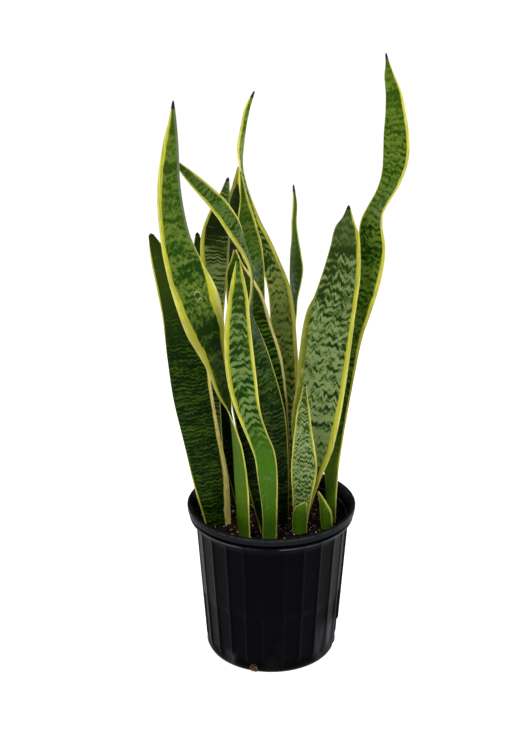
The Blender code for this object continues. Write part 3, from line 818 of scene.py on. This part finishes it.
# %% The looks
GREEN = (28, 58, 10)
NIGHT = (16, 36, 8)
SHEATH = Look("green", GREEN, (60, 98, 24), (120, 146, 62), awn=1)
SEED_STEP = 17.3
BLADE_SHARP = 60.0
LOOKS = {
    "leaf_left_broad": Look("dark", NIGHT, (32, 54, 10), (66, 90, 26), pitch=3.6, dash=7, zigzag=8,
        breaks=0.45, beat=0.07, edges=(YELLOW, BRIGHT_CREAM), plain=(62, 84, 14), awn=3),
    "leaf_left_tall": Look("sage", (32, 62, 14), (66, 94, 30), (102, 122, 50), reach=14, pitch=6.5, dash=5,
        wave=4, breaks=0.65, beat=0.04, zones=0.6, plain=(84, 122, 20), awn=13, soft=0.06,
        sheen_edge=(3.4, 420), scars=((3, 376, 5), (4.5, 366, 3.5))),
    "leaf_left_back": Look("dark", NIGHT, (40, 56, 30), (70, 84, 56), awn=6),
    "leaf_back_dark": Look("dark", (18, 38, 12), (76, 94, 42), (124, 140, 84), reach=34, pitch=3.4,
        dash=10, zigzag=7, wave=8, breaks=0.35, awn=7, sheen_edge=(2.6, 300)),
    "leaf_crossing": Look("dark", (26, 52, 12), (58, 86, 30), (92, 118, 58), reach=22, pitch=4, dash=7,
        zigzag=10, awn=3),
    "leaf_front": Look("sage", (24, 54, 12), (58, 92, 28), (116, 136, 78), reach=14, pitch=7, zigzag=12,
        arch=14, beat=0.08, plain=(72, 116, 20), awn=4),
    "leaf_centre_green": Look("green", GREEN, (66, 96, 26), (102, 126, 52), reach=16, awn=3),
    "leaf_centre_dark": Look("dark", (24, 52, 8), (38, 68, 12), (76, 100, 26), reach=30, breaks=0.3, awn=2),
    # The tall centre leaf's greens are painted lighter and its margins take the brighter yellow, standing in
    # for light on a leaf in shade.
    "leaf_centre_tall": Look("green", (44, 70, 20), (110, 134, 52), (152, 166, 86), reach=12, pitch=6.5,
        dash=5, zigzag=18, arch=10, beat=0.08, edges=(LIT_MARGIN_YELLOW, LIT_MARGIN_YELLOW), awn=13),
    "leaf_centre_broad": Look("dark", NIGHT, (44, 74, 12), (84, 114, 28), pitch=4, dash=8, zigzag=9,
        breaks=0.4, beat=0.08, edges=(YELLOW, CREAM), awn=3),
    "leaf_front_shaded": Look("dark", NIGHT, (36, 60, 16), (70, 94, 38), breaks=0.4, awn=3),
    "leaf_back_narrow": Look("dark", (20, 46, 10), (50, 78, 22), (84, 106, 54), awn=13),
    "leaf_right_broad": Look("sage", (30, 54, 20), (80, 104, 52), (132, 150, 92), reach=12, pitch=7,
        zigzag=24, wave=6, beat=0.07, zones=0.35, edges=(SHADED_YELLOW, YELLOW), rims=(0.3, 0.75),
        plain=(68, 84, 36), awn=7, soft=0.035),
    # The tall right leaf's plain green is painted lighter, standing in for light at its shaded foot, and its
    # right margin takes the brighter yellow.
    "leaf_right_tall": Look("green", GREEN, (74, 106, 28), (110, 134, 52), reach=10, pitch=5.6, dash=5,
        zigzag=10, breaks=0.6, zones=0.35, edges=(YELLOW, LIT_MARGIN_YELLOW), plain=(122, 172, 40), awn=9,
        soft=0.07),
    "leaf_right_short": Look("sage", (28, 60, 18), (84, 110, 50), (144, 160, 104), reach=8, pitch=4.6,
        dash=4, zigzag=20, wave=4, arch=7, beat=0.08, awn=4),
    "sheath_right_short": SHEATH,
    "sheath_right_tall": SHEATH,
}

for number, (name, (channel, spine)) in enumerate(SPINES.items()):
    stations = STATIONS[name]
    look = LOOKS[name]
    seed = SEED_STEP * number
    finish = leaf_finish("finish_" + name, look, stations[-1].along / MM, seed)
    blade = make_blade(name, channel, stations, seed)
    make_piece("grown_" + name, blade, finish, name, BLADE_SHARP)

# %% [markdown]
# ## The pot
#
# A nursery pot is one thin moulding. A profile spun round the axis makes its walls, its floor and the
# rolled rim with a bead under it in one go. The ribs, the faces between them and the flat panels of the
# foot are small pushes of the outer wall, in or out, that a sum of the angle and the height gives. The
# ribs run up to just under the bead.

# %% The pot's sizes
BODY_TOP_RADIUS = 108.2 * MM
BODY_TOP = 198 * MM
BODY_BASE_RADIUS = 94 * MM
BODY_FOOT = 8 * MM
BODY_STEP = 2.5 * MM
NECK_FOOT = 196 * MM
LIP_FOOT = 209 * MM
WALL = 2 * MM
FLOOR = 3 * MM
RIBS = 24
POT_STEPS = RIBS * 24
RIB_FIRST = math.radians(9.7)
RIB_HEIGHT = 0.7 * MM
RIB_FLANK = (0.05, 0.28)
FACE_HOLLOW = 1.2 * MM
RIB_FOOT = 20 * MM
PANEL_HEAD = 100 * MM
PANEL_ARCH = 18 * MM
PANEL_DEPTH = 0.9 * MM
PANEL_LEDGE = 10 * MM
PANEL_FLANK = (0.10, 0.24)
LONG_RIB = math.radians(-4.9)
LONG_RIB_FOOT = 42 * MM
LONG_RIB_PROUD = 1.8 * MM
INNER_SET_BACK = RIB_HEIGHT + FACE_HOLLOW


def body_radius(height):
    """Radius of the plain conical body, over the crests of its ribs."""
    return BODY_BASE_RADIUS + (BODY_TOP_RADIUS - BODY_BASE_RADIUS) * height / BODY_TOP


def inner_radius(height):
    return body_radius(height) - INNER_SET_BACK - WALL


def in_mm(*points):
    """Points of a profile that are given in millimetres."""
    return [(radius * MM, height * MM) for radius, height in points]


def arc(centre_r, centre_z, radius, start, end, count):
    """Points of a profile along an arc, sizes in millimetres and angles in degrees."""
    angles = [math.radians(start + (end - start) * i / count) for i in range(count + 1)]
    return in_mm(*[(centre_r + radius * math.cos(a), centre_z + radius * math.sin(a)) for a in angles])


def pot_profile():
    """Radius and height from the middle of the underside, up the outside, and down the inside."""
    points = in_mm((0, 0), (60, 0), (87.5, 0), (89.6, 0.6), (91.4, 2), (92.9, 4.4))
    height = BODY_FOOT
    while height < NECK_FOOT:
        points.append((body_radius(height), height))
        height += BODY_STEP
    points += in_mm((108.6, 198), (109.4, 201.5), (110.6, 204.5), (112, 207), (112.8, 208.8))
    points += arc(115.8, 210.3, 1.3, -90, 0, 4) + arc(115.9, 213.4, 1.2, 0, 90, 4)
    points += in_mm((115.2, 215.2), (115, 216.8))
    points += arc(118.0, 218.8, 1.2, -90, 0, 4) + in_mm((119.7, 222.5))
    points += arc(118.2, 226.2, 1.8, 0, 90, 5) + arc(116.4, 226.6, 1.4, 90, 180, 3)
    points += [(inner_radius(LIP_FOOT), LIP_FOOT - 2 * MM), (inner_radius(FLOOR), FLOOR), (0.0, FLOOR)]
    return points


print("pot:", len(pot_profile()), "points in its profile,", POT_STEPS, "steps round")

# %% [markdown]
# The body has 24 narrow ribs with slightly hollow faces between them. Low down each face drops into a flat
# panel with an arched head, and the ribs stop just above the ground. One rib stands prouder than the
# rest and ends higher.

# %% Ribs, faces and panels
def smooth(value, low, high):
    """0 below low, 1 above high, and a smooth rise between them."""
    t = min(max((value - low) / (high - low), 0.0), 1.0)
    return t * t * (3.0 - 2.0 * t)


def off_rib(angle):
    """How far an angle is from the nearest rib: 0 on its crest, 1 in the middle of a face."""
    turns = (angle - RIB_FIRST) / (math.tau / RIBS)
    return 2.0 * abs(turns - round(turns))


def face_push(angle, height):
    """The flanks of the ribs and the hollow faces, which fade out into the neck and the foot."""
    off = off_rib(angle)
    hollow = 1.0 - (1.0 - off) ** 2
    push = RIB_HEIGHT * smooth(off, *RIB_FLANK) + FACE_HOLLOW * hollow
    return -push * (1.0 - smooth(height, NECK_FOOT + 3 * MM, NECK_FOOT + 10 * MM))


def off_centre_drop(off):
    """How far an arch has dropped at a distance from a rib: 0 in the middle of a face, 1 at the rib."""
    return 1.0 - math.sqrt(max(0.0, 1.0 - (1.0 - off) ** 2))


def panel_push(angle, height):
    """The flat panels of the foot with their arched heads, and the plain ring under the ribs."""
    off = off_rib(angle)
    head = PANEL_HEAD - PANEL_ARCH * off_centre_drop(off)
    below = 1.0 - smooth(height, head - PANEL_LEDGE, head)
    rib = (1.0 - smooth(off, *PANEL_FLANK)) * smooth(height, RIB_FOOT - 2 * MM, RIB_FOOT + 2 * MM)
    return -PANEL_DEPTH * below * (1.0 - rib)


def long_rib_push(angle, height, radius):
    """The one rib that stands prouder than the others."""
    off = math.remainder(angle - LONG_RIB, math.tau) * radius
    rib = 1.0 - smooth(abs(off), 0.8 * MM, 1.8 * MM)
    return LONG_RIB_PROUD * rib * smooth(height, LONG_RIB_FOOT - 0.5 * MM, LONG_RIB_FOOT + 0.5 * MM)


def shape_wall(bm):
    """Push the outer wall of the body in and out. The rim, the inside and the underside stay as spun."""
    for vert in bm.verts:
        radius = math.hypot(vert.co.x, vert.co.y)
        height = vert.co.z
        outside = radius > body_radius(height) - 0.5 * MM
        if not outside or height < 7 * MM or height > NECK_FOOT + 11 * MM:
            continue
        angle = math.atan2(vert.co.y, vert.co.x)
        push = face_push(angle, height) * smooth(height, RIB_FOOT - 8 * MM, RIB_FOOT)
        push += panel_push(angle, height) * smooth(height, 6 * MM, 16 * MM)
        push += long_rib_push(angle, height, radius)
        vert.co.x *= 1.0 + push / radius
        vert.co.y *= 1.0 + push / radius


def spin_pot():
    bm = bmesh.new()
    verts = [bm.verts.new((radius, 0.0, height)) for radius, height in pot_profile()]
    edges = [bm.edges.new(pair) for pair in zip(verts, verts[1:])]
    bmesh.ops.spin(bm, geom=verts + edges, cent=(0, 0, 0), axis=(0, 0, 1), angle=math.tau,
                   steps=POT_STEPS, use_merge=True, use_duplicate=False)
    bmesh.ops.remove_doubles(bm, verts=bm.verts, dist=WELD)
    shape_wall(bm)
    return bm


# %% [markdown]
# Four drain holes cut through the corner between the wall and the floor. A Boolean modifier takes out a
# block with a rounded head at each place.

# %% Cut the drain holes
DRAIN_HOLES = 4
DRAIN_WIDTH = 15 * MM
DRAIN_HEIGHT = 13 * MM
DRAIN_FIRST = math.radians(-105)
DRAIN_REACH = 20 * MM
DRAIN_SINK = 5 * MM


def drain_block(angle):
    """A long block with a half-round head, lying across the corner of the pot."""
    bm = bmesh.new()
    half = DRAIN_WIDTH / 2
    length = 2 * DRAIN_REACH
    bmesh.ops.create_cone(bm, cap_ends=True, segments=32, radius1=half, radius2=half, depth=length,
                          matrix=Matrix.Rotation(math.radians(90), 4, "Y"))
    for vert in bm.verts:
        vert.co.z = vert.co.z if vert.co.z > 0 else -DRAIN_HEIGHT + half - DRAIN_SINK
    turn = Matrix.Rotation(angle, 4, "Z")
    place = Matrix.Translation((BODY_BASE_RADIUS, 0.0, DRAIN_HEIGHT - half))
    bm.transform(turn @ place)
    bmesh.ops.recalc_face_normals(bm, faces=bm.faces)
    return object_from(bm, "drain_block")


def cut_drains(pot):
    for i in range(DRAIN_HOLES):
        block = drain_block(DRAIN_FIRST + i * math.tau / DRAIN_HOLES)
        cut = pot.modifiers.new("drain", "BOOLEAN")
        cut.operation = "DIFFERENCE"
        cut.solver = "EXACT"
        cut.object = block
        shape = pot.evaluated_get(bpy.context.evaluated_depsgraph_get())
        mesh = bpy.data.meshes.new_from_object(shape)
        pot.modifiers.clear()
        pot.data = mesh
        bpy.data.objects.remove(block, do_unlink=True)
    pot.data.set_sharp_from_angle(angle=math.radians(40.0))


# %% [markdown]
# The plastic is nearly black and a little shiny. Handling leaves fine scuffs that show as changes in its
# gloss, and dust from the soil greys the lower wall. Some light is painted on as well: a thin pale line of
# painted highlight along the bead under the rim, a grey painted sheen on the rolled rim with a painted
# highlight along its top edge, and soft upright bars of painted sheen on both sides of the foot.

# %% The pot's finish
PLASTIC = shade(10, 11, 15)
# Painted light on the pot: the rim's sheen, its top edge's highlight, the bead's line and the bars on the
# foot.
RIM_SHEEN = shade(31, 33, 35)
RIM_EDGE_HIGHLIGHT = shade(58, 60, 62)
BEAD_HIGHLIGHT = shade(96, 99, 102)
DUST = shade(40, 36, 33)
FOOT_SHEEN = shade(92, 94, 98)
POT_GLOSS = 0.021
POT_RELIEF = 0.08 * MM
DUST_HEAD = 120 * MM
RIM_START = (217.0 * MM, 219.0 * MM)
RIM_HIGHLIGHT_BAND = (224.5 * MM, 227.4 * MM, 0.8 * MM)
BEAD_HIGHLIGHT_BAND = (210.0 * MM, 211.4 * MM, 0.5 * MM)
FOOT_SHEEN_BARS = [
    # middle and reach sideways as a share of the radius, foot and head, strength
    (0.745, 0.07, 8 * MM, 60 * MM, 0.32),
    (0.89, 0.04, 12 * MM, 56 * MM, 0.60),
    (-0.62, 0.08, 4 * MM, 24 * MM, 0.32),
]


def bar(paint, value, low, high, soft):
    """1 between low and high, and soft ends beyond them."""
    return paint.step(value, low - soft, low + soft) * (1.0 - paint.step(value, high - soft, high + soft))


def painted_foot_sheen(paint, x, y, z, patches):
    """Soft upright bars of painted sheen on the front of the foot, standing in for a reflection."""
    radius = paint.math("SQRT", x * x + y * y)
    sideways = x / radius
    front = 1.0 - paint.step(y, -0.03, 0.0)
    sheen = 0.0
    for middle, reach, foot, head, strength in FOOT_SHEEN_BARS:
        upright = bar(paint, sideways, middle - reach, middle + reach, 0.035)
        sheen = sheen + upright * bar(paint, z, foot, head, 0.3 * (head - foot)) * strength
    return sheen * front * paint.step(patches, 0.1, 0.8)


def pot_finish():
    paint = Paint("black_moulded_plastic")
    place = paint.object_place()
    x, y, z = paint.split(place)
    scuffs = paint.noise(place, 90.0, 4.0)
    streaks = paint.noise(paint.place(x * 160.0, y * 160.0, z * 12.0), 1.0, 3.0)
    patches = paint.noise(place, 35.0, 5.0)
    dust = paint.step(patches, 0.5, 0.75) * (1.0 - paint.step(z, 0.0, DUST_HEAD))
    colour = paint.blend(dust * 0.3, PLASTIC, DUST)
    # Painted sheen: soft grey upright bars on both sides of the foot stand in for a reflection.
    colour = paint.blend(painted_foot_sheen(paint, x, y, z, streaks), colour, FOOT_SHEEN)
    # Painted sheen: the rolled rim is painted a lighter grey, standing in for light on it.
    colour = paint.blend(paint.step(z, *RIM_START), colour, RIM_SHEEN)
    # Painted highlight: a scuffed pale band along the rim's top edge.
    edge = bar(paint, z, *RIM_HIGHLIGHT_BAND)
    colour = paint.blend(edge * paint.step(scuffs, 0.3, 0.6) * 0.8, colour, RIM_EDGE_HIGHLIGHT)
    # Painted highlight: a thin pale line along the bead under the rim.
    line = bar(paint, z, *BEAD_HIGHLIGHT_BAND)
    colour = paint.blend(line * paint.step(patches, 0.3, 0.6) * 0.85, colour, BEAD_HIGHLIGHT)
    rough = 0.26 + scuffs * 0.14 + streaks * 0.1 + dust * 0.2
    return paint.finish(colour, rough, scuffs + streaks * 0.4, POT_RELIEF, Specular_IOR_Level=POT_GLOSS)


pot = make_piece("moulded_pot", spin_pot(), pot_finish(), "pot")
cut_drains(pot)
print("pot after its drain holes:", len(pot.data.polygons), "faces")

# %% [markdown]
# ## The soil
#
# Potting mix is a dark crumb of peat and bark with white grains of perlite. One closed body fills the pot,
# so that it also shows through the drain holes. Its top is a grid drawn round and roughened. Loose crumbs,
# chips and grains lie on it, and each kind is one piece with its own finish.

# %% The body of the soil
SOIL_TOP = 202 * MM
SOIL_SWELL = 1.6 * MM
SOIL_GRID = 150
CRUMB_RELIEF = 1.7 * MM
soil_low, soil_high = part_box("soil")
SOIL_RADIUS = soil_high.x
SOIL_FOOT_RADIUS = inner_radius(soil_low.z) - 0.7 * MM
print("soil radius", round(SOIL_RADIUS / MM, 1), "mm")


def soil_height(x, y):
    """The soil's surface: the CAD solid's long swells, and a crumbly relief on them."""
    wave = math.sin(61 * x + 1.3) * math.cos(53 * y - 0.4) + 0.6 * math.sin(118 * x - 97 * y)
    crumb = noise.fractal(Vector((x * 170, y * 170, 2.0)), 0.8, 2.1, 3)
    return SOIL_TOP + SOIL_SWELL * wave / 2 + CRUMB_RELIEF * crumb


def make_soil():
    bm = bmesh.new()
    bmesh.ops.create_grid(bm, x_segments=SOIL_GRID, y_segments=SOIL_GRID, size=1.0)
    for vert in bm.verts:
        x, y = vert.co.x, vert.co.y
        vert.co.x = SOIL_RADIUS * x * math.sqrt(1 - y * y / 2)
        vert.co.y = SOIL_RADIUS * y * math.sqrt(1 - x * x / 2)
        vert.co.z = soil_height(vert.co.x, vert.co.y)
    rim = [edge for edge in bm.edges if edge.is_boundary]
    wall = bmesh.ops.extrude_edge_only(bm, edges=rim)["geom"]
    foot = [item for item in wall if isinstance(item, bmesh.types.BMVert)]
    for vert in foot:
        vert.co.x *= SOIL_FOOT_RADIUS / SOIL_RADIUS
        vert.co.y *= SOIL_FOOT_RADIUS / SOIL_RADIUS
        vert.co.z = soil_low.z
    bmesh.ops.holes_fill(bm, edges=[edge for edge in bm.edges if edge.is_boundary], sides=0)
    return bm


def soil_finish():
    paint = Paint("potting_mix")
    place = paint.object_place()
    clods = paint.noise(place, 110.0, 4.0)
    fibres = paint.noise(place, 420.0, 4.0)
    colour = paint.blend(paint.step(clods, 0.35, 0.65), shade(12, 8, 8), shade(38, 23, 20))
    colour = paint.blend(paint.step(fibres, 0.58, 0.72), colour, shade(80, 52, 42))
    return paint.finish(colour, 0.92, clods + fibres * 0.6, 1.2 * MM, Specular_IOR_Level=0.15)


make_piece("packed_soil", make_soil(), soil_finish(), "soil", 80.0)

# %% [markdown]
# At the drain hole on the lower left some soil has been pushed out into the opening, and is painted a
# paler brown than the soil inside. It is a squashed sphere made lumpy by a noise.

# %% The soil in the drain hole
PLUG_RADIUS = 92.0 * MM
PLUG_PLACE = Vector((PLUG_RADIUS * math.cos(DRAIN_FIRST), PLUG_RADIUS * math.sin(DRAIN_FIRST), 8.6 * MM))
PLUG_SIZE = (4.6 * MM, 6.6 * MM, 7.0 * MM)
PLUG_LUMPS = 0.35


def make_plug():
    bm = bmesh.new()
    bmesh.ops.create_icosphere(bm, subdivisions=4, radius=1.0)
    for vert in bm.verts:
        lump = noise.fractal(vert.co * 2.6, 0.8, 2.1, 3)
        vert.co = vert.co * (1.0 + PLUG_LUMPS * lump)
    turn = Matrix.Rotation(DRAIN_FIRST, 4, "Z")
    bm.transform(Matrix.Translation(PLUG_PLACE) @ turn @ Matrix.Diagonal((*PLUG_SIZE, 1.0)))
    return bm


def plug_finish():
    paint = Paint("pushed_out_soil")
    place = paint.object_place()
    clods = paint.noise(place, 420.0, 4.0)
    colour = paint.blend(paint.step(clods, 0.38, 0.66), shade(36, 26, 14), shade(118, 92, 54))
    return paint.finish(colour, 0.92, clods, 0.8 * MM, Specular_IOR_Level=0.1)


make_piece("soil_plug", make_plug(), plug_finish(), sharp=80.0)

# %% [markdown]
# The loose bits are scattered by a seeded draw. A bit that would fall on a leaf is drawn again, because
# soil isn't left lying in a blade.

# %% Scatter crumbs, chips and grains
SEED = 11
SPREAD = SOIL_RADIUS - 4 * MM
LOOSE = [
    # name, how many, smallest and largest size, flatness, colours from dark to light
    ("soil_crumbs", 900, (1.2 * MM, 3.6 * MM), 0.8, (shade(20, 12, 10), shade(70, 42, 32))),
    ("bark_chips", 150, (3.0 * MM, 7.5 * MM), 0.45, (shade(52, 30, 20), shade(150, 112, 84))),
    ("perlite_grains", 210, (1.4 * MM, 3.4 * MM), 0.85, (shade(190, 176, 166), shade(246, 240, 236))),
]
LEAF_FEET = [next(s for s in stations if s.along >= 0.0) for stations in STATIONS.values()]


def under_leaf(point, reach):
    """Whether a bit of that reach would touch a leaf where it leaves the soil."""
    for foot in LEAF_FEET:
        apart = point - foot.place
        sideways = abs(apart.dot(foot.across))
        if sideways < foot.width / 2 + reach and abs(apart.dot(foot.face)) < BLADE_THICK + reach:
            return True
    return False


def scatter(rng, count, sizes, flat):
    """Small faceted lumps, each a squashed and turned icosphere of 20 faces."""
    bm = bmesh.new()
    made = 0
    while made < count:
        reach = SPREAD * math.sqrt(rng.random())
        angle = rng.uniform(0.0, math.tau)
        size = sizes[0] + (sizes[1] - sizes[0]) * rng.random() ** 2
        x = reach * math.cos(angle)
        y = reach * math.sin(angle)
        point = Vector((x, y, soil_height(x, y) + 0.15 * size))
        if under_leaf(point, size / 2):
            continue
        turn = Matrix.Rotation(rng.uniform(0.0, math.tau), 4, "Z")
        tilt = Matrix.Rotation(rng.uniform(-0.5, 0.5), 4, "X")
        stretch = Matrix.Diagonal((size / 2, size / 2 * rng.uniform(0.5, 0.9), size / 2 * flat, 1.0))
        matrix = Matrix.Translation(point) @ turn @ tilt @ stretch
        lump = bmesh.ops.create_icosphere(bm, subdivisions=1, radius=1.0, matrix=matrix)["verts"]
        for vert in lump:
            vert.co += (vert.co - point) * rng.uniform(-0.25, 0.15)
        made += 1
    return bm


def loose_finish(name, colours):
    paint = Paint(name)
    place = paint.object_place()
    tone = paint.noise(place, 190.0, 2.0)
    fine = paint.noise(place, 1400.0, 3.0)
    colour = paint.blend(paint.step(tone, 0.35, 0.65), *colours)
    return paint.finish(colour, 0.9, fine, 0.3 * MM, Specular_IOR_Level=0.2)


for number, (name, count, sizes, flat, colours) in enumerate(LOOSE):
    bits = scatter(random.Random(SEED + number), count, sizes, flat)
    make_piece(name, bits, loose_finish("finish_" + name, colours), sharp=35.0)
